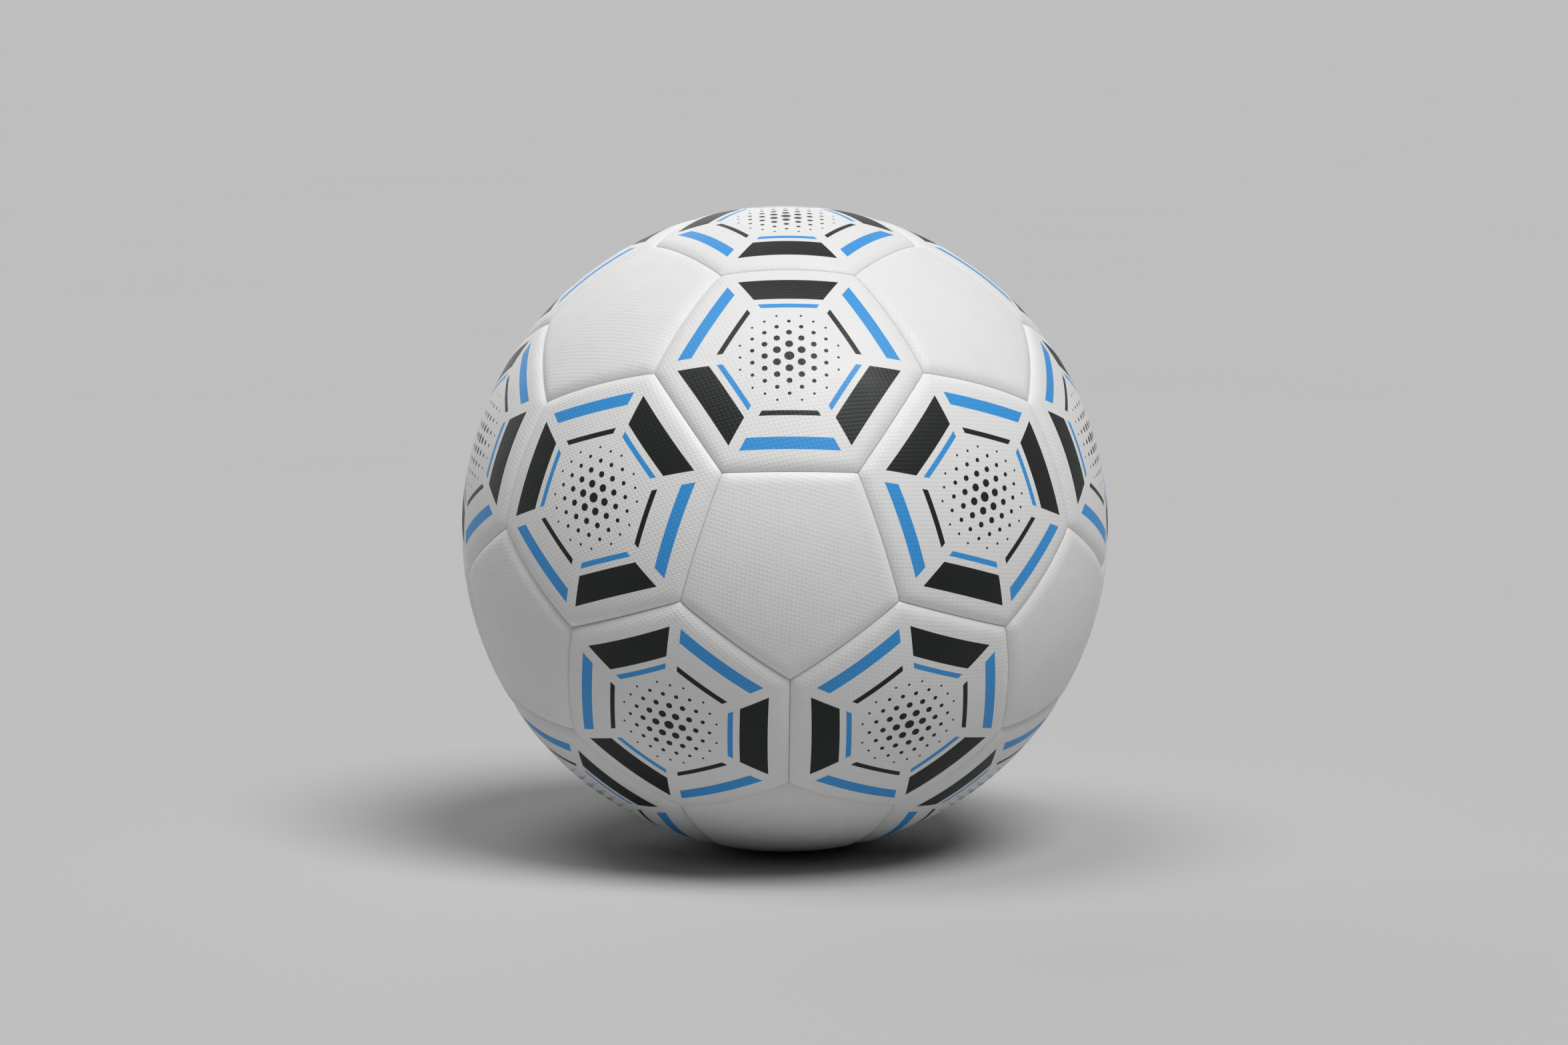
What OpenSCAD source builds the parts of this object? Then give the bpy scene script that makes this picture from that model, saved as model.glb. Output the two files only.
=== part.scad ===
// Low-bounce indoor football with 32 bonded panels: 12 pentagons and 20 hexagons.
// The origin is the centre of the ball. A pentagon faces the front (-Y) with a level top edge,
// and the valve is in the pentagon opposite, at the back (+Y).

/* [Ball] */
// Diameter over the panels of the inflated ball
ball_d = 200; // [180:1:225]

/* [Panels] */
// Thickness of the textured skin
skin_t = 1.2; // [0.8:0.1:1.8]
// Thickness of the foam pad under each skin
foam_t = 3.0; // [2:0.1:5]
// Width of the joint between neighbouring panels
seam_gap = 0.25; // [0.1:0.05:0.6]
// Depth of the groove along the joints
groove_d = 1.0; // [0.6:0.1:1.6]
// Distance from the joint at which a panel begins to roll down into the groove
roll_w = 3.9; // [3:0.1:6]

/* [Carcass] */
// Thickness of the glue line between one layer and the next
bond_gap = 0.15; // [0.05:0.05:0.3]
// Thickness of the rubber shell that the panels are glued to
carcass_t = 1.0; // [0.5:0.1:2]
// Thickness of the layer of wound thread
winding_t = 1.0; // [0.5:0.1:2]
// Thickness of the bladder's wall
bladder_t = 1.2; // [0.8:0.1:2]
// Thickness of the foam lining that damps the bounce
lining_t = 6; // [3:0.5:15]

/* [Valve] */
// Diameter of the hole that guides the inflating needle
needle_d = 2.2; // [1.8:0.1:2.6]
// Length of that guide, below its flared mouth
guide_len = 9; // [6:0.5:12]
// Width of the flare at the mouth of the needle hole
mouth_w = 0.6; // [0.3:0.1:0.8]
// Width of the slit that closes behind the needle
slit_w = 0.15; // [0.1:0.05:0.3]
// Rubber round the needle hole
core_wall = 1.5; // [1.2:0.1:2]
// Length of the valve core, head and round tip included
core_len = 21; // [18:0.5:28]
// Step from the valve core's shank out to its head
head_lip = 0.5; // [0.4:0.1:1]
// Thickness of the valve core's head
head_t = 2; // [1.5:0.1:3]
// Clearance of the valve core in its seat, all round
fit_gap = 0.05; // [0.02:0.01:0.1]
// Rubber of the seat round the valve core's head
neck_wall = 0.85; // [0.7:0.05:1.5]
// Clearance of the seat's neck in the layers that it passes through
neck_gap = 0.25; // [0.1:0.05:0.5]
// Depth of the valve below the surface of its panel
valve_recess = 0.6; // [0.3:0.1:1]
// Diameter of the seat's flange under the bladder
flange_d = 24; // [20:1:32]
// Thickness of that flange
flange_t = 1.6; // [1:0.1:2.5]
// Rubber of the seat's stem round the valve core's shank
stem_wall = 3.4; // [2:0.1:4.5]
// Rubber at the closed end of the stem
stem_floor = 2; // [1:0.1:3]
// Room between the tip of the valve core and the end of the stem
tip_gap = 0.4; // [0.2:0.1:1]
// Diameter of the air hole through the end of the stem
vent_d = 3; // [2:0.1:3.5]

/* [Hidden] */
$fn = 96;
// Overshoot of a cut past the surface that it leaves
cut = 1;
// Lift of the panels' rolled edges, so that they cross the crown at a small angle
roll_lift = 0.03;

// Radii of the layers, from the outside in
ball_r = ball_d / 2;
foam_r = ball_r - skin_t - bond_gap;
panel_floor_r = foam_r - foam_t;
carcass_r = panel_floor_r - bond_gap;
winding_r = carcass_r - carcass_t - bond_gap;
bladder_r = winding_r - winding_t - bond_gap;
lining_r = bladder_r - bladder_t - bond_gap;
lining_floor_r = lining_r - lining_t;

// Inset of each layer's side from the middle of the joint
skin_inset = seam_gap / 2;
cavity_inset = skin_inset + skin_t;
foam_inset = cavity_inset + bond_gap;

// The rolled edge is an arc from the crown, at roll_w from the joint, to the bottom of the groove
groove_r = ball_r - groove_d;
roll_angle = asin(roll_w / ball_r);
groove_reach = groove_r * cos(roll_angle);
roll_r = (ball_r^2 + groove_r^2 - 2 * ball_r * groove_reach) / (2 * (ball_r - groove_reach));
roll_centre = (ball_r - roll_r + roll_lift) * [cos(roll_angle), sin(roll_angle)];

// Radii of the valve, each from the one inside it
needle_r = needle_d / 2;
core_r = needle_r + core_wall;
head_r = core_r + head_lip;
neck_r = head_r + fit_gap + neck_wall;
neck_hole_r = neck_r + neck_gap;
stem_r = core_r + fit_gap + stem_wall;
flange_hole_r = flange_d / 2 + neck_gap;

// Heights in the valve, measured from the centre of the ball
valve_top = ball_r - valve_recess;
head_low = valve_top - head_t;
guide_low = valve_top - mouth_w - guide_len;
core_low = valve_top - core_len;
stem_room_low = core_low - tip_gap;
stem_low = stem_room_low - stem_floor;

// Angles of a solid of 12 pentagons and 20 hexagons with all its edges equal
edge_share = 4 / sqrt(58 + 18 * sqrt(5));
function corner_angle(sides) = asin(edge_share / (2 * sin(180 / sides)));
function side_angle(sides) = atan(tan(corner_angle(sides)) * cos(180 / sides));
pentagon_tilt = atan(2);
hexagon_tilt = side_angle(5) + side_angle(6);
mid_hexagon_tilt = hexagon_tilt + 2 * side_angle(6);

// Rings of panels from front to back: name, count, sides, tilt from the front, and turn round it.
// The back half is the front half turned half a step.
step = 360 / 5;
rings = [
    ["pentagon_front", 1, 5, 0, 0],
    ["hexagon_front", 5, 6, hexagon_tilt, 0],
    ["pentagon_mid_front", 5, 5, pentagon_tilt, step / 2],
    ["hexagon_mid_front", 5, 6, mid_hexagon_tilt, 0],
    ["hexagon_mid_back", 5, 6, 180 - mid_hexagon_tilt, step / 2],
    ["pentagon_mid_back", 5, 5, 180 - pentagon_tilt, 0],
    ["hexagon_back", 5, 6, 180 - hexagon_tilt, step / 2],
    ["pentagon_valve", 1, 5, 180, 0],
];
function panel_name(ring, i) = ring[1] == 1 ? ring[0] : str(ring[0], "_", i + 1);

panel_names = [for (ring = rings) for (i = [0:ring[1] - 1]) panel_name(ring, i)];
inner_names = ["pentagon_foam_pads", "hexagon_foam_pads", "carcass_shell", "thread_winding",
    "bladder", "damping_lining", "valve_seat", "valve_core"];

// Turns the front, which is built about +Z, to face -Y
module face_front() {
    rotate([0, -90, 0])
        rotate([90, 0, 0])
            children();
}

// Puts what is built about +Z on one place of a ring. A pentagon in the back half points backwards.
module on_ring(ring, i) {
    tilt = ring[3];
    flip = ring[2] == 5 && tilt > 90 && tilt < 180 ? 180 : 0;
    face_front()
        rotate([0, tilt, ring[4] + i * step])
            rotate([0, 0, flip])
                children();
}

// Puts what is built about +Z at the valve
module at_valve() {
    face_front()
        rotate([180, 0, 0])
            children();
}

// Ball with its poles to the sides, clear of what is built about +Z
module side_ball(r) {
    rotate([90, 0, 0])
        sphere(r);
}

// Hole for the valve through a layer that is built about +Z
module valve_hole(r) {
    cylinder(r = r, h = ball_d);
}

// Ring that rolls a panel's edge down into the groove. Its axis is Z, and the panel lies above z = 0.
// Layers below the crown share the arc's centre.
module edge_roll(depth, inset) {
    outside = (ball_r + cut) / cos(roll_angle);
    low = inset - seam_gap / 4;
    rotate_extrude()
        difference() {
            polygon([
                roll_centre,
                [roll_centre[0], low],
                [outside, low],
                outside * [cos(roll_angle), sin(roll_angle)],
            ]);
            translate(roll_centre)
                circle(roll_r - depth);
        }
}

// Puts what is built about +Z on one side of a panel, in the plane of the joint, with +X outwards
module on_side(sides, k) {
    rotate([0, side_angle(sides), k * 360 / sides])
        children();
}

// Block in the shape of a panel, about +Z: the ball from a depth under the crown down to a radius,
// cut along the planes of the joints
module flat_block(sides, depth, floor_r, inset) {
    difference() {
        side_ball(ball_r - depth);
        side_ball(floor_r);
        for (k = [0:sides - 1])
            on_side(sides, k)
                translate([-inset, -ball_d, -ball_d])
                    cube(2 * ball_d);
    }
}

// The same block with its first few edges rolled down, one after another
module rolled_block(sides, depth, floor_r, inset, rolled) {
    if (rolled == 0)
        flat_block(sides, depth, floor_r, inset);
    else
        difference() {
            rolled_block(sides, depth, floor_r, inset, rolled - 1);
            on_side(sides, rolled - 1)
                rotate([0, -90, 0])
                    rotate([0, 0, 180])
                        edge_roll(depth, inset);
        }
}

module panel_block(sides, depth, floor_r, inset) {
    rolled_block(sides, depth, floor_r, inset, sides);
}

// Skin of a panel: a shallow tray, open towards the carcass, whose sides wrap the foam pad
module skin(sides) {
    difference() {
        panel_block(sides, 0, panel_floor_r, skin_inset);
        panel_block(sides, skin_t, panel_floor_r - cut, cavity_inset);
    }
}

module foam_pad(sides) {
    panel_block(sides, skin_t + bond_gap, panel_floor_r, foam_inset);
}

// Hollow ball with a hole for the valve at one of its poles
module layer(outer_r, inner_r, hole_r) {
    at_valve()
        difference() {
            sphere(outer_r);
            sphere(inner_r);
            valve_hole(hole_r);
        }
}

module pentagon_panel() {
    color("whitesmoke")
        skin(5);
}

module hexagon_panel() {
    color("white")
        skin(6);
}

module valve_panel() {
    color("whitesmoke")
        difference() {
            skin(5);
            valve_hole(neck_hole_r);
        }
}

// Pads of every panel with the given number of sides. The one under the valve panel has its hole.
module foam_pads(sides) {
    for (ring = rings)
        if (ring[2] == sides)
            for (i = [0:ring[1] - 1])
                on_ring(ring, i)
                    difference() {
                        foam_pad(sides);
                        if (ring[0] == "pentagon_valve")
                            valve_hole(neck_hole_r);
                    }
}

module pentagon_foam_pads() {
    color("lightyellow")
        foam_pads(5);
}

module hexagon_foam_pads() {
    color("lightyellow")
        foam_pads(6);
}

module carcass_shell() {
    color("dimgray")
        layer(carcass_r, carcass_r - carcass_t, neck_hole_r);
}

module thread_winding() {
    color("beige")
        layer(winding_r, winding_r - winding_t, neck_hole_r);
}

module bladder() {
    color("black")
        layer(bladder_r, bladder_r - bladder_t, neck_hole_r);
}

module damping_lining() {
    color("lightgray")
        layer(lining_r, lining_floor_r, flange_hole_r);
}

// Neck, flange and stem of the valve in one moulding. The flange lies under the bladder.
module valve_seat() {
    color("gray")
        at_valve()
            rotate_extrude()
                difference() {
                    union() {
                        translate([0, stem_low])
                            square([neck_r, valve_top - stem_low]);
                        intersection() {
                            translate([0, stem_low])
                                square([stem_r, valve_top - stem_low]);
                            circle(lining_r);
                        }
                        difference() {
                            intersection() {
                                square([flange_d / 2, valve_top]);
                                circle(lining_r);
                            }
                            circle(lining_r - flange_t);
                        }
                    }
                    translate([0, stem_room_low])
                        square([core_r + fit_gap, ball_r]);
                    translate([0, head_low - fit_gap])
                        square([head_r + fit_gap, ball_r]);
                    translate([0, stem_low - cut])
                        square([vent_d / 2, ball_r]);
                }
}

// Plug with a head, a flared needle guide and a slit that the needle opens
module valve_core() {
    color("black")
        at_valve()
            difference() {
                rotate_extrude()
                    difference() {
                        union() {
                            translate([0, head_low])
                                square([head_r, head_t]);
                            translate([0, core_low + core_r])
                                square([core_r, core_len - core_r]);
                            intersection() {
                                translate([0, core_low + core_r])
                                    circle(core_r);
                                translate([0, core_low])
                                    square([core_r, core_len]);
                            }
                        }
                        translate([0, guide_low])
                            square([needle_r, ball_r]);
                        polygon([
                            [0, valve_top - mouth_w],
                            [needle_r, valve_top - mouth_w],
                            [needle_r + mouth_w, valve_top],
                            [0, valve_top],
                        ]);
                    }
                translate([-slit_w / 2, -needle_r, core_low - cut])
                    cube([slit_w, needle_d, guide_low - core_low + 2 * cut]);
            }
}

for (ring = rings)
    for (i = [0:ring[1] - 1])
        on_ring(ring, i) {
                if (ring[0] == "pentagon_valve") valve_panel();
                else if (ring[2] == 5) pentagon_panel();
                else hexagon_panel();
            }
pentagon_foam_pads();
hexagon_foam_pads();
carcass_shell();
thread_winding();
bladder();
damping_lining();
valve_seat();
valve_core();
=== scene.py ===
import math
from collections import namedtuple

import bpy
import numpy as np
from mathutils import Matrix, Vector


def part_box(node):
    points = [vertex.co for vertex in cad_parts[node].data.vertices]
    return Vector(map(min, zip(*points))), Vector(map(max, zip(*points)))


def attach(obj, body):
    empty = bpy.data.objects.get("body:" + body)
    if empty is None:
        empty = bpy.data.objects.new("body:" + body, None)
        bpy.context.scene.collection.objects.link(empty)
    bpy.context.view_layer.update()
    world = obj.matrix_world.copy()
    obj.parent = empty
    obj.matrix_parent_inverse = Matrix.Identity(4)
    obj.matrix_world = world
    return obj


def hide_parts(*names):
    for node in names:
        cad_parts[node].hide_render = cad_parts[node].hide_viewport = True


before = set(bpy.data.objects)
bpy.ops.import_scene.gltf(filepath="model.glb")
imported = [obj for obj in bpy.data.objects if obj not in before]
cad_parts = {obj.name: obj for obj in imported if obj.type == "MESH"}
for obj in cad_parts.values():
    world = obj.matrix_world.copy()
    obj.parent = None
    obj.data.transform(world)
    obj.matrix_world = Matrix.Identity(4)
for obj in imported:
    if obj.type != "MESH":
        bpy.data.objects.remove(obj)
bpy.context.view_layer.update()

MM = 0.001
WHOLE_TURN = 2 * math.pi
# Rotations are matrices of this size
MATRIX_SIZE = 3

# The two kinds of panel, by their number of sides
PENTAGON = 5
HEXAGON = 6

# Sizes of the layers, as in the solids
BALL_R = -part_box("pentagon_front")[0].y
SKIN_T = 1.2 * MM
FOAM_T = 3.0 * MM
BOND_GAP = 0.15 * MM
NECK_HOLE_R = 4.25 * MM
PANEL_FLOOR_R = BALL_R - SKIN_T - BOND_GAP - FOAM_T

# Bonded skins press against each other, so the joint is a hair's width
SEAM_GAP = 0.03 * MM
SKIN_INSET = SEAM_GAP / 2
CAVITY_INSET = SKIN_INSET + SKIN_T
FOAM_INSET = CAVITY_INSET + BOND_GAP

# Rolled edge of a panel: how far its face falls at the joint, and how far from the joint it starts to fall.
# It falls by this power of the nearness, so it turns most sharply right beside the joint.
EDGE_DROP = 1.26 * MM
ROLL_W = 5.2 * MM
ROLL_POWER = 3
JOINT_R = BALL_R - EDGE_DROP
# The skin's own edge is rounded, down into the joint
ROUND_R = 0.4 * MM
# How sharply two rolled edges meet at a corner; a higher power is sharper
CORNER_POWER = 4

# Fineness of the meshes
SIDE_STEPS = 24
CROWN_STEPS = 14
ROLL_STEPS = 12
ROUND_STEPS = 5
INNER_STEPS = 4
# Faces that meet more sharply than this show an edge
SHARP_ANGLE = math.radians(50)

# The maps are flat pictures of a panel, this wide, with the panel's middle at their middle
MAP_SPAN = 100 * MM
MAP_MIDDLE = 0.5
PRINT_MAP = "print"
GRAIN_MAP = "grain"
# Direction of the grain on each kind of panel before it is turned; all of a kind are cut alike
GRAIN_WAYS = {PENTAGON: math.radians(-55), HEXAGON: math.radians(32)}

# Solid of 12 pentagons and 20 hexagons with equal edges: an edge, as a share of the radius to a corner
EDGE_SHARE = 4 / math.sqrt(58 + 18 * math.sqrt(5))


def corner_angle(sides):
    """Angle at the ball's centre between a panel's middle and its corners."""
    return math.asin(EDGE_SHARE / (2 * math.sin(math.pi / sides)))


def side_angle(sides):
    """Angle at the ball's centre between a panel's middle and the middles of its sides."""
    return math.atan(math.tan(corner_angle(sides)) * math.cos(math.pi / sides))


# Angles at the ball's centre from the middle of the front pentagon to the panels round it.
# The middles of the pentagons are the corners of an icosahedron.
PENTAGON_TILT = math.atan(2)
HEXAGON_TILT = side_angle(PENTAGON) + side_angle(HEXAGON)
MID_HEXAGON_TILT = HEXAGON_TILT + 2 * side_angle(HEXAGON)
# Turn from one panel of a ring to the next
STEP = WHOLE_TURN / PENTAGON

# Rings of panels from front to back: their tilt from the front, the turn of the first one about the front,
# and the spin of each about its own middle. A hexagon is spun so that its first side meets another hexagon.
# The grain of each panel in a ring is turned by a number of its sides.
Ring = namedtuple("Ring", "name sides tilt turn spin grain_turns")
RINGS = (
    Ring("pentagon_front", PENTAGON, 0, 0, 0, (0,)),
    Ring("hexagon_front", HEXAGON, HEXAGON_TILT, 0, 0, (2, 1, 0, 1, 0)),
    Ring("pentagon_mid_front", PENTAGON, PENTAGON_TILT, STEP / 2, 0, (2, 4, 1, 3, 3)),
    Ring("hexagon_mid_front", HEXAGON, MID_HEXAGON_TILT, 0, math.pi, (2, 0, 1, 0, 1)),
    Ring("hexagon_mid_back", HEXAGON, math.pi - MID_HEXAGON_TILT, STEP / 2, 0, (1, 0, 2, 2, 0)),
    Ring("pentagon_mid_back", PENTAGON, math.pi - PENTAGON_TILT, 0, math.pi, (0, 3, 1, 4, 2)),
    Ring("hexagon_back", HEXAGON, math.pi - HEXAGON_TILT, STEP / 2, math.pi, (0, 2, 1, 0, 2)),
    Ring("pentagon_valve", PENTAGON, math.pi, 0, 0, (3,)),
)


def rotation(angle, axis):
    return Matrix.Rotation(angle, MATRIX_SIZE, axis)


# Takes +Z, about which a panel is built, to the front, and its +X up
FACE_FRONT = rotation(-math.pi / 2, "Y") @ rotation(math.pi / 2, "X")


def on_ring(points, ring, i):
    """Moves the points of a panel built about +Z to one place of a ring."""
    turn = rotation(ring.turn + i * STEP, "Z")
    tilt = rotation(ring.tilt, "Y")
    spin = rotation(ring.spin, "Z")
    return points @ np.array(FACE_FRONT @ turn @ tilt @ spin).T


def panel_count(ring):
    return len(ring.grain_turns)


def node_name(ring, i):
    """Name of the solid of one panel of a ring."""
    return ring.name if panel_count(ring) == 1 else f"{ring.name}_{i + 1}"


def grain_way(ring, i):
    """Direction of the grain on one panel of a ring."""
    return GRAIN_WAYS[ring.sides] + ring.grain_turns[i] * WHOLE_TURN / ring.sides


def hole_radius(ring):
    """Radius of the hole in the middle of a ring's panels: only the one at the back has it, for the valve."""
    return NECK_HOLE_R if ring.name == "pentagon_valve" else 0


def on_layer(flat, sides, depth):
    """Moves points of a panel's flat plane, along lines from the ball's centre, to a depth under its face.

    The plane is at unit distance from the centre, and square to the line out through the panel's middle.
    """
    ways = np.column_stack((flat, np.ones(len(flat))))
    ways /= np.linalg.norm(ways, axis=1)[:, None]
    slant = side_angle(sides)
    drop = np.zeros(len(ways))
    for k in range(sides):
        turn = k * WHOLE_TURN / sides
        out = math.cos(slant) * np.array((math.cos(turn), math.sin(turn), 0))
        rise = ways @ (np.array((0, 0, math.sin(slant))) - out)
        near = np.maximum(1 - rise * BALL_R / ROLL_W, 0)
        close = np.clip(1 - (rise * JOINT_R - SKIN_INSET) / ROUND_R, 0, 1)
        rounding = ROUND_R * (1 - np.sqrt(1 - close**2))
        drop += (EDGE_DROP * near**ROLL_POWER + rounding) ** CORNER_POWER
    return ways * (BALL_R - depth - drop ** (1 / CORNER_POWER))[:, None]


def at_radius(points, radius):
    """The same directions at another distance from the ball's centre."""
    return points * (radius / np.linalg.norm(points, axis=1))[:, None]


def outline(sides, inset):
    """Points round a panel's outline on the flat plane, a little inside the joint."""
    apothem = math.tan(side_angle(sides) - math.asin(inset / JOINT_R))
    shares = np.arange(-1, 1, 2 / SIDE_STEPS) * math.tan(math.pi / sides)
    points = []
    for k in range(sides):
        turn = k * WHOLE_TURN / sides
        middle = np.array((math.cos(turn), math.sin(turn)))
        along = np.array((-math.sin(turn), math.cos(turn)))
        points.append(apothem * (middle + shares[:, None] * along))
    return np.concatenate(points)


def layer_loops(sides, depth, insets, hole_r, crown_steps):
    """Loops of points on a layer of a panel, from its middle, or from a hole there, out to its edge.

    The last loops lie at the given insets from the joint, and even steps lead out to the first of them.
    """
    rims = [outline(sides, inset) for inset in insets]
    ring = rims[0] / np.linalg.norm(rims[0], axis=1)[:, None] * math.tan(math.asin(hole_r / BALL_R))
    first = 0 if hole_r else 1
    crown = [ring + (rims[0] - ring) * i / crown_steps for i in range(first, crown_steps)]
    return [on_layer(flat, sides, depth) for flat in crown + rims]


def skin_loops(sides, hole_r):
    """Loops over a skin: its face, its sides down to the carcass, and its hollow underside."""
    roll = np.linspace(ROLL_W, SKIN_INSET + ROUND_R, ROLL_STEPS, endpoint=False)
    rounding = SKIN_INSET + ROUND_R * (1 - np.sin(np.linspace(0, math.pi / 2, ROUND_STEPS + 1)))
    face = layer_loops(sides, 0, np.concatenate((roll, rounding)), hole_r, CROWN_STEPS)
    inner_roll = np.linspace(ROLL_W, CAVITY_INSET, INNER_STEPS + 1)
    hollow = layer_loops(sides, SKIN_T, inner_roll, hole_r, INNER_STEPS)
    foot = [at_radius(face[-1], PANEL_FLOOR_R), at_radius(hollow[-1], PANEL_FLOOR_R)]
    return face + foot + hollow[::-1]


def pad_loops(sides, hole_r):
    """Loops over a foam pad: its crowned face, its sides, and its underside on the carcass."""
    roll = np.linspace(ROLL_W, FOAM_INSET, INNER_STEPS + 1)
    face = layer_loops(sides, SKIN_T + BOND_GAP, roll, hole_r, INNER_STEPS)
    return face + [at_radius(loop, PANEL_FLOOR_R) for loop in face[::-1]]


def loft(loops, ring_shaped):
    """Points and faces of a closed skin through the loops, joined end to end or capped at the middle."""
    count = len(loops[0])
    points = np.concatenate(loops)
    ahead = np.roll(np.arange(count), -1)
    here = np.arange(count)
    pairs = [(i, i + 1) for i in range(len(loops) - 1)]
    if ring_shaped:
        pairs.append((len(loops) - 1, 0))
    faces = []
    for a, b in pairs:
        quads = (a * count + here, b * count + here, b * count + ahead, a * count + ahead)
        faces += np.column_stack(quads).tolist()
    if not ring_shaped:
        last = (len(loops) - 1) * count
        top = len(points)
        under = top + 1
        middles = [(0, 0, np.linalg.norm(loop, axis=1).mean()) for loop in (loops[0], loops[-1])]
        points = np.concatenate((points, middles))
        faces += np.column_stack((np.full(count, top), here, ahead)).tolist()
        faces += np.column_stack((np.full(count, under), last + ahead, last + here)).tolist()
    return points, faces


def mesh_of(name, points, faces):
    mesh = bpy.data.meshes.new(name)
    mesh.from_pydata(points.tolist(), [], faces)
    mesh.polygons.foreach_set("use_smooth", [True] * len(mesh.polygons))
    mesh.set_sharp_from_angle(angle=SHARP_ANGLE)
    mesh.update()
    return mesh


def add_map(mesh, name, points, turn, shift):
    """Adds a flat map of a panel's points, true to their distance and direction from its middle.

    A shift by a number of whole maps gives a panel a part of the noise to itself.
    """
    radius = np.linalg.norm(points, axis=1)
    arc = BALL_R * np.arccos(np.clip(points[:, 2] / radius, -1, 1))
    way = np.arctan2(points[:, 1], points[:, 0]) - turn
    spots = MAP_MIDDLE + shift + np.column_stack((arc * np.cos(way), arc * np.sin(way))) / MAP_SPAN
    corners = np.zeros(len(mesh.loops), dtype=np.int32)
    mesh.loops.foreach_get("vertex_index", corners)
    mesh.uv_layers.new(name=name).data.foreach_set("uv", spots[corners].astype(np.float32).ravel())


def placed(name, data):
    """Adds an object to the scene."""
    thing = bpy.data.objects.new(name, data)
    bpy.context.scene.collection.objects.link(thing)
    return thing


def add_piece(name, mesh, material, node):
    """Adds a piece that rides on the ball in place of a solid."""
    piece = placed(name, mesh)
    mesh.materials.append(material)
    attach(piece, "ball")
    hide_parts(node)
    return piece


class Nodes:
    """A material's nodes, with short calls to add them."""

    def __init__(self, name):
        self.material = bpy.data.materials.new(name)
        self.material.use_nodes = True
        self.tree = self.material.node_tree
        self.shader = self.tree.nodes["Principled BSDF"]

    def add(self, kind, **settings):
        node = self.tree.nodes.new(kind)
        for name, value in settings.items():
            setattr(node, name, value)
        return node

    def feed(self, socket, value):
        """Links a socket to another one, or sets its value."""
        if isinstance(value, bpy.types.NodeSocket):
            self.tree.links.new(value, socket)
        else:
            socket.default_value = value

    def finish(self, **inputs):
        """Links or sets the shader's own inputs, named with _ for each space."""
        for name, value in inputs.items():
            self.feed(self.shader.inputs[name.replace("_", " ")], value)
        return self.material

    def math(self, operation, *values):
        node = self.add("ShaderNodeMath", operation=operation)
        for socket, value in zip(node.inputs, values):
            self.feed(socket, value)
        return node.outputs[0]

    def between(self, value, low, high):
        """1 where the value is between two limits, and otherwise 0."""
        above = self.math("GREATER_THAN", value, low)
        return self.math("MULTIPLY", above, self.math("LESS_THAN", value, high))

    def scaled(self, value, low, high):
        """Spreads a value of 0 to 1 over a range."""
        node = self.add("ShaderNodeMapRange")
        self.feed(node.inputs["Value"], value)
        node.inputs["To Min"].default_value = low
        node.inputs["To Max"].default_value = high
        return node.outputs["Result"]

    def rising(self, value, low, high):
        """Goes smoothly from 0 where the value is low to 1 where it is high."""
        node = self.add("ShaderNodeMapRange", interpolation_type="SMOOTHSTEP")
        self.feed(node.inputs["Value"], value)
        node.inputs["From Min"].default_value = low
        node.inputs["From Max"].default_value = high
        return node.outputs["Result"]

    def mixed(self, share, first, second):
        """Colour between two colours."""
        node = self.add("ShaderNodeMix", data_type="RGBA")
        colours = [s for s in node.inputs if s.type == "RGBA"]
        self.feed(node.inputs["Factor"], share)
        self.feed(colours[0], first)
        self.feed(colours[1], second)
        return next(s for s in node.outputs if s.type == "RGBA")

    def noise(self, place, size, detail):
        """Soft blotches of about the given size, from 0 to 1."""
        node = self.add("ShaderNodeTexNoise")
        self.feed(node.inputs["Vector"], place)
        node.inputs["Scale"].default_value = 1 / size
        node.inputs["Detail"].default_value = detail
        return node.outputs["Fac"]

    def own_place(self):
        """Place on a solid, in metres."""
        return self.add("ShaderNodeTexCoord").outputs["Object"]

    def map_place(self, name):
        """Place on a panel's map, in metres from the middle of an unshifted map: x, y and both together."""
        spot = self.add("ShaderNodeUVMap", uv_map=name).outputs["UV"]
        node = self.add("ShaderNodeSeparateXYZ")
        self.feed(node.inputs[0], spot)
        x, y = (self.math("MULTIPLY_ADD", node.outputs[s], MAP_SPAN, -MAP_SPAN / 2) for s in ("X", "Y"))
        both = self.add("ShaderNodeCombineXYZ")
        self.feed(both.inputs["X"], x)
        self.feed(both.inputs["Y"], y)
        return x, y, both.outputs["Vector"]

    def relief(self, height):
        """Normal of a surface with a relief whose height is in metres."""
        node = self.add("ShaderNodeBump")
        node.inputs["Strength"].default_value = 1
        node.inputs["Distance"].default_value = 1
        self.feed(node.inputs["Height"], height)
        return node.outputs["Normal"]

    def total(self, first, *others):
        """Sum of all the values."""
        for other in others:
            first = self.math("ADD", first, other)
        return first

    def length(self, x, y):
        """Distance of a place from the middle."""
        return self.math("SQRT", self.total(self.math("MULTIPLY", x, x), self.math("MULTIPLY", y, y)))


# Colours are linear light, with full opacity
def grey(value):
    return (value, value, value, 1)


WHITE = (0.82, 0.82, 0.81, 1)
WHITE_SHADE = (0.76, 0.765, 0.76, 1)
BLACK_INK = (0.006, 0.008, 0.008, 1)
BLUE_INK = (0.045, 0.31, 0.72, 1)

# Shine of the skin, below that of plain plastic, and how its roughness changes with its tone
SKIN_SHINE = 0.28
SKIN_SMOOTH = 0.4
SKIN_ROUGH = 0.54
TONE_SIZE = 9 * MM
TONE_DETAIL = 4

# Embossing of the skin: staggered rows of long ovals, this far apart across and along them.
# The ovals stand this far above and below the skin's mean, and the rows that they form a share of that.
OVALS_ACROSS = 1.62 * MM
OVALS_ALONG = 2.05 * MM
OVAL_HEIGHT = 0.026 * MM
ROW_SHARE = 0.42
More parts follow.
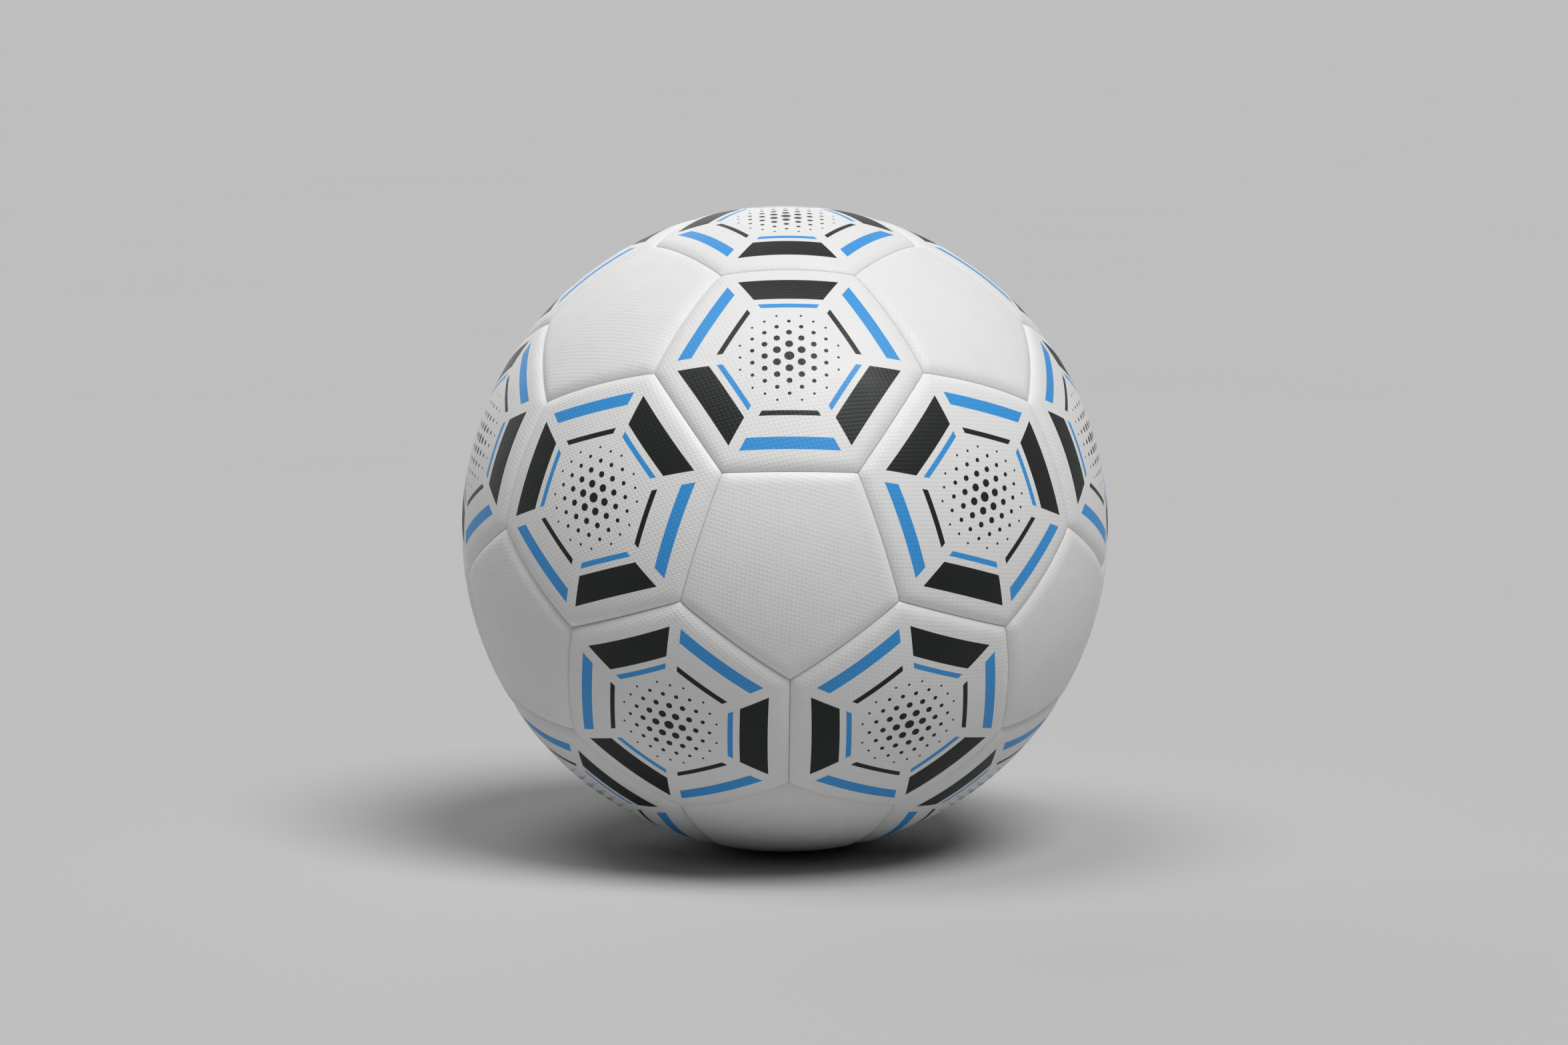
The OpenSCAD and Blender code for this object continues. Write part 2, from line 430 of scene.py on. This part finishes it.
# It is pressed unevenly, from the first share of its height to the second
FAINT_PRESS = 0.45
FIRM_PRESS = 1.55
# The embossing is pressed flat this near to a joint, and is at its full height from here on
PRESSED_FLAT = 0.1 * MM
FULLY_EMBOSSED = 1.3 * MM
# Slow unevenness of the foam under the skin
SWELL_SIZE = 18 * MM
SWELL_HEIGHT = 0.06 * MM
SWELL_DETAIL = 1

# Printed frame of a hexagon, measured out from its middle: wide bars face the hexagons next to it and
# narrow bars the pentagons, each with a thin line inside it
BAR_OUT = 30 * MM
WIDE_BAR = 8.4 * MM
NARROW_BAR = 3.8 * MM
LINE_IN = 18 * MM
LINE = 1.6 * MM
# Half of the bare gap at each corner of the frame
CORNER_GAP = 1.8 * MM
# Half of the angle that one side of a hexagon takes up
HALF_SIDE = math.pi / HEXAGON
# Every other side of a hexagon meets a hexagon, so this many do
HEXAGON_NEIGHBOURS = 3
# Dots in the middle, largest there and smaller outwards. They lie on two grids with this pitch along a row
# and from row to row. The second grid is moved by a share of the pitch, so that they form even triangles.
DOT_PITCH = 4.2 * MM
DOT_ROWS = DOT_PITCH * math.sqrt(3)
DOT_STAGGER = 0.5
DOT_R = 1.5 * MM
DOTS_OUT = 20 * MM
LEAST_DOT_R = 0.35 * MM


def from_joint(nodes, sides):
    """Distance from the plane of the nearest joint, on the face of a panel."""
    x, y, _ = nodes.map_place(PRINT_MAP)
    half = math.pi / sides
    slant = side_angle(sides)
    folded = nodes.math("WRAP", nodes.math("ARCTAN2", y, x), half, -half)
    arc = nodes.math("DIVIDE", nodes.length(x, y), BALL_R)
    inward = nodes.math("MULTIPLY", nodes.math("COSINE", arc), math.sin(slant))
    outward = nodes.math("MULTIPLY", nodes.math("SINE", arc), nodes.math("COSINE", folded))
    rise = nodes.math("MULTIPLY_ADD", outward, -math.cos(slant), inward)
    return nodes.math("MULTIPLY", rise, BALL_R)


def embossed(nodes, sides):
    """Gives a skin its relief and its shine, and returns the slow tone of its surface."""
    x, y, place = nodes.map_place(GRAIN_MAP)
    across = nodes.math("COSINE", nodes.math("MULTIPLY", x, WHOLE_TURN / OVALS_ACROSS))
    along = nodes.math("COSINE", nodes.math("MULTIPLY", y, WHOLE_TURN / OVALS_ALONG))
    rows = nodes.math("COSINE", nodes.math("MULTIPLY", x, 2 * WHOLE_TURN / OVALS_ACROSS))
    pattern = nodes.math("MULTIPLY_ADD", rows, ROW_SHARE, nodes.math("MULTIPLY", across, along))
    pressed = nodes.rising(from_joint(nodes, sides), PRESSED_FLAT, FULLY_EMBOSSED)
    tone = nodes.noise(place, TONE_SIZE, TONE_DETAIL)
    uneven = nodes.math("MULTIPLY", pressed, nodes.scaled(tone, FAINT_PRESS, FIRM_PRESS))
    height = nodes.math("MULTIPLY", nodes.math("MULTIPLY", pattern, uneven), OVAL_HEIGHT)
    swell = nodes.math("MULTIPLY", nodes.noise(place, SWELL_SIZE, SWELL_DETAIL), SWELL_HEIGHT)
    nodes.finish(
        Normal=nodes.relief(nodes.total(height, swell)),
        Roughness=nodes.scaled(tone, SKIN_SMOOTH, SKIN_ROUGH),
        Specular_IOR_Level=SKIN_SHINE,
    )
    return tone


def white_skin():
    nodes = Nodes("white_skin")
    tone = embossed(nodes, PENTAGON)
    return nodes.finish(Base_Color=nodes.mixed(tone, WHITE, WHITE_SHADE))


def frame_bars(nodes, across, corner, side_kind, bar_in):
    """Two masks for the sides of one kind: 1 on the bar, and 1 on the thin line inside it."""
    bar = nodes.between(across, bar_in, BAR_OUT)
    line = nodes.between(across, LINE_IN, LINE_IN + LINE)
    clear = nodes.math("GREATER_THAN", corner, CORNER_GAP)
    on_side = nodes.math("MULTIPLY", side_kind, clear)
    return nodes.math("MULTIPLY", bar, on_side), nodes.math("MULTIPLY", line, on_side)


def grid_dots(nodes, x, y, shift):
    """1 on the dots of a grid that is moved by a share of its pitch. A dot's size goes by its place."""
    offsets = []
    middles = []
    for value, pitch in ((x, DOT_PITCH), (y, DOT_ROWS)):
        moved = nodes.math("ADD", value, shift * pitch)
        offsets.append(nodes.math("WRAP", moved, pitch / 2, -pitch / 2))
        middles.append(nodes.math("SUBTRACT", value, offsets[-1]))
    size = nodes.math("MULTIPLY_ADD", nodes.length(*middles), -DOT_R / DOTS_OUT, DOT_R)
    seen = nodes.math("GREATER_THAN", size, LEAST_DOT_R)
    return nodes.math("MULTIPLY", seen, nodes.math("LESS_THAN", nodes.length(*offsets), size))


def printed_skin():
    """White skin with a printed frame near its sides, and dots in the middle."""
    nodes = Nodes("printed_skin")
    tone = embossed(nodes, HEXAGON)
    x, y, _ = nodes.map_place(PRINT_MAP)
    reach = nodes.length(x, y)
    way = nodes.math("ARCTAN2", y, x)
    folded = nodes.math("WRAP", way, HALF_SIDE, -HALF_SIDE)
    across = nodes.math("MULTIPLY", reach, nodes.math("COSINE", folded))
    corner_way = nodes.math("SUBTRACT", HALF_SIDE, nodes.math("ABSOLUTE", folded))
    corner = nodes.math("MULTIPLY", reach, nodes.math("SINE", corner_way))
    alternating = nodes.math("COSINE", nodes.math("MULTIPLY", way, HEXAGON_NEIGHBOURS))
    to_hexagon = nodes.math("GREATER_THAN", alternating, 0)
    to_pentagon = nodes.math("SUBTRACT", 1, to_hexagon)

    wide, wide_line = frame_bars(nodes, across, corner, to_hexagon, BAR_OUT - WIDE_BAR)
    narrow, narrow_line = frame_bars(nodes, across, corner, to_pentagon, BAR_OUT - NARROW_BAR)
    dots = [grid_dots(nodes, x, y, shift) for shift in (0, DOT_STAGGER)]
    black = nodes.total(wide, narrow_line, *dots)
    blue = nodes.total(narrow, wide_line)
    bare = nodes.mixed(tone, WHITE, WHITE_SHADE)
    return nodes.finish(Base_Color=nodes.mixed(blue, nodes.mixed(black, bare, BLACK_INK), BLUE_INK))


# Moulded rubber: its bloom, which also changes its roughness by up to this much, and its fine grain
BLOOM_SIZE = 5.5 * MM
BLOOM_DETAIL = 4
BLOOM_ROUGHNESS = 0.08
RUBBER_GRAIN_SIZE = 0.33 * MM
RUBBER_GRAIN_DETAIL = 2
RUBBER_GRAIN_HEIGHT = 0.02 * MM


def rubber(name, dark, pale, roughness):
    """Moulded rubber with a faint bloom and a fine grain."""
    nodes = Nodes(name)
    place = nodes.own_place()
    bloom = nodes.noise(place, BLOOM_SIZE, BLOOM_DETAIL)
    grain = nodes.noise(place, RUBBER_GRAIN_SIZE, RUBBER_GRAIN_DETAIL)
    return nodes.finish(
        Base_Color=nodes.mixed(bloom, grey(dark), grey(pale)),
        Roughness=nodes.scaled(bloom, roughness - BLOOM_ROUGHNESS, roughness + BLOOM_ROUGHNESS),
        Normal=nodes.relief(nodes.math("MULTIPLY", grain, RUBBER_GRAIN_HEIGHT)),
    )


# Foam: the size and depth of its open cells
CELL_SIZE = 0.83 * MM
CELL_DEPTH = 0.15 * MM
FOAM_ROUGHNESS = 0.9
PAD_CELL = (0.72, 0.69, 0.5, 1)
PAD_WALL = (0.5, 0.47, 0.32, 1)
LINING_CELL = grey(0.32)
LINING_WALL = grey(0.18)


def foam(name, cell_colour, wall_colour):
    """Cut foam with small open cells."""
    nodes = Nodes(name)
    cells = nodes.add("ShaderNodeTexVoronoi")
    nodes.feed(cells.inputs["Vector"], nodes.own_place())
    cells.inputs["Scale"].default_value = 1 / CELL_SIZE
    depth = cells.outputs["Distance"]
    return nodes.finish(
        Base_Color=nodes.mixed(depth, cell_colour, wall_colour),
        Roughness=FOAM_ROUGHNESS,
        Normal=nodes.relief(nodes.math("MULTIPLY", depth, CELL_DEPTH)),
    )


# Wound thread: the pitch of its turns, their height and how unevenly they lie.
# The wave pattern makes 20 radians to its unit.
THREAD_PITCH = 1.05 * MM
THREAD_HEIGHT = 0.25 * MM
THREAD_WANDER = 3
THREAD_ROUGHNESS = 0.75
THREAD_PALE = (0.66, 0.62, 0.5, 1)
THREAD_LATEX = (0.3, 0.27, 0.2, 1)
WAVE_RATE = 20


def wound_thread():
    """Thread wound every way round the bladder, under a coat of latex."""
    nodes = Nodes("wound_thread")
    place = nodes.own_place()
    thread = 0
    for direction in ("X", "Y", "Z"):
        wave = nodes.add("ShaderNodeTexWave", bands_direction=direction)
        nodes.feed(wave.inputs["Vector"], place)
        wave.inputs["Scale"].default_value = WHOLE_TURN / (WAVE_RATE * THREAD_PITCH)
        wave.inputs["Distortion"].default_value = THREAD_WANDER
        thread = nodes.math("MAXIMUM", thread, wave.outputs["Fac"])
    return nodes.finish(
        Base_Color=nodes.mixed(thread, THREAD_LATEX, THREAD_PALE),
        Roughness=THREAD_ROUGHNESS,
        Normal=nodes.relief(nodes.math("MULTIPLY", thread, THREAD_HEIGHT)),
    )


def add_skins():
    """One skin for each panel, in the shape and place of its solid."""
    finishes = {PENTAGON: ("white_skin", white_skin()), HEXAGON: ("printed_skin", printed_skin())}
    index = 0
    for ring in RINGS:
        hole_r = hole_radius(ring)
        points, faces = loft(skin_loops(ring.sides, hole_r), bool(hole_r))
        slot, material = finishes[ring.sides]
        for i in range(panel_count(ring)):
            node = node_name(ring, i)
            mesh = mesh_of(f"skin_{node}", on_ring(points, ring, i), faces)
            add_map(mesh, PRINT_MAP, points, 0, 0)
            add_map(mesh, GRAIN_MAP, points, grain_way(ring, i), index)
            add_piece(f"skin_{node}", mesh, material, node)
            index += 1


def add_pads(sides, node, material):
    """All the foam pads of one shape, as one piece of separate pads."""
    points = []
    faces = []
    first = 0
    for ring in RINGS:
        if ring.sides != sides:
            continue
        hole_r = hole_radius(ring)
        pad, pad_faces = loft(pad_loops(sides, hole_r), bool(hole_r))
        for i in range(panel_count(ring)):
            points.append(on_ring(pad, ring, i))
            faces += [[first + v for v in face] for face in pad_faces]
            first += len(pad)
    mesh = mesh_of(f"pads_{node}", np.concatenate(points), faces)
    piece = add_piece(f"pads_{node}", mesh, material, node)


def dress_solids():
    """Materials of the pieces that stay as they were made: the layers inside and the valve."""
    finishes = {
        "carcass_shell": rubber("carcass_rubber", dark=0.02, pale=0.05, roughness=0.7),
        "thread_winding": wound_thread(),
        "bladder": rubber("bladder_rubber", dark=0.008, pale=0.02, roughness=0.45),
        "damping_lining": foam("lining_foam", LINING_CELL, LINING_WALL),
        "valve_seat": rubber("seat_rubber", dark=0.06, pale=0.11, roughness=0.5),
        "valve_core": rubber("core_rubber", dark=0.01, pale=0.025, roughness=0.42),
    }
    for node, material in finishes.items():
        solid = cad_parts[node]
        solid.data.materials.clear()
        solid.data.materials.append(material)


def way_to(right, above):
    """Direction at these angles to the right of the front and above level."""
    level = math.cos(above)
    return Vector((math.sin(right) * level, -math.cos(right) * level, math.sin(above)))


# Camera, fitted to the outline and the joints in the photograph: its distance in metres, its lens in mm
CAMERA_AZIMUTH = math.radians(-0.93)
CAMERA_ELEVATION = math.radians(6.62)
CAMERA_DISTANCE = 1.68
CAMERA_LENS = 124.4
# Where the picture's middle is, right of and above the middle of the ball
AIM_RIGHT = -0.27 * MM
AIM_UP = 2.0 * MM


def add_camera():
    """Camera where the photograph was taken from."""
    data = bpy.data.cameras.new("camera")
    data.lens = CAMERA_LENS
    camera = placed("camera", data)
    back = way_to(CAMERA_AZIMUTH, CAMERA_ELEVATION)
    turn = (-back).to_track_quat("-Z", "Y")
    camera.rotation_mode = "QUATERNION"
    camera.rotation_quaternion = turn
    camera.location = back * CAMERA_DISTANCE + turn @ Vector((AIM_RIGHT, AIM_UP, 0))
    bpy.context.scene.camera = camera


# Plain floor, this many metres wide
FLOOR_SIZE = 120
# Its tone changes slightly, over about this many metres
FLOOR_PALE = grey(0.505)
FLOOR_SHADE = grey(0.495)
FLOOR_TONE_SIZE = 0.3
FLOOR_TONE_DETAIL = 2

# Lamps: the angle of each to the right of the front and above level, its strength, and how wide it looks.
# The key and the side lamp are overhead, and a weak one at the back lights the side that they leave dark.
Lamp = namedtuple("Lamp", "name right above strength width")
LAMPS = (
    Lamp("key", math.radians(35), math.radians(60), 2.4, math.radians(30)),
    Lamp("side", math.radians(-60), math.radians(72), 0.95, math.radians(30)),
    Lamp("back", math.radians(-155), math.radians(20), 0.57, math.radians(60)),
)
# Even light from all round, and how pale the room looks
ROOM_STRENGTH = 0.02
ROOM_PALE = 0.515


def add_floor():
    """Floor that the ball rests on, which isn't part of it."""
    half = FLOOR_SIZE / 2
    flat = ((-half, -half), (half, -half), (half, half), (-half, half))
    corners = np.array([(x, y, -BALL_R) for x, y in flat])
    mesh = mesh_of("floor", corners, [(0, 1, 2, 3)])
    nodes = Nodes("floor")
    tone = nodes.noise(nodes.own_place(), FLOOR_TONE_SIZE, FLOOR_TONE_DETAIL)
    colour = nodes.mixed(tone, FLOOR_PALE, FLOOR_SHADE)
    mesh.materials.append(nodes.finish(Base_Color=colour, Roughness=1, Specular_IOR_Level=0))
    placed("floor", mesh)


def add_lamps():
    """Distant lamps, each lighting everything from its own direction."""
    for lamp in LAMPS:
        data = bpy.data.lights.new(lamp.name, "SUN")
        data.energy = lamp.strength
        data.angle = lamp.width
        sun = placed(lamp.name, data)
        sun.rotation_mode = "QUATERNION"
        sun.rotation_quaternion = way_to(lamp.right, lamp.above).to_track_quat("Z", "Y")


def add_room():
    """Even light from all round. Looked at straight, or in a reflection, the room is as pale as the floor."""
    world = bpy.data.worlds.new("room")
    bpy.context.scene.world = world
    world.use_nodes = True
    tree = world.node_tree
    light = tree.nodes["Background"]
    light.inputs["Color"].default_value = grey(1)
    light.inputs["Strength"].default_value = ROOM_STRENGTH
    seen = tree.nodes.new("ShaderNodeBackground")
    seen.inputs["Color"].default_value = grey(1)
    seen.inputs["Strength"].default_value = ROOM_PALE
    path = tree.nodes.new("ShaderNodeLightPath")
    either = path.outputs["Is Camera Ray"]
    for ray in ("Is Glossy Ray", "Is Transmission Ray"):
        node = tree.nodes.new("ShaderNodeMath")
        node.operation = "MAXIMUM"
        tree.links.new(either, node.inputs[0])
        tree.links.new(path.outputs[ray], node.inputs[1])
        either = node.outputs[0]
    mix = tree.nodes.new("ShaderNodeMixShader")
    tree.links.new(either, mix.inputs["Fac"])
    tree.links.new(light.outputs[0], mix.inputs[1])
    tree.links.new(seen.outputs[0], mix.inputs[2])
    tree.links.new(mix.outputs[0], tree.nodes["World Output"].inputs["Surface"])


add_camera()
add_skins()
pad_foam = foam("pad_foam", PAD_CELL, PAD_WALL)
add_pads(PENTAGON, "pentagon_foam_pads", pad_foam)
add_pads(HEXAGON, "hexagon_foam_pads", pad_foam)
dress_solids()
add_floor()
add_lamps()
add_room()
bpy.context.scene.view_settings.view_transform = "Standard"
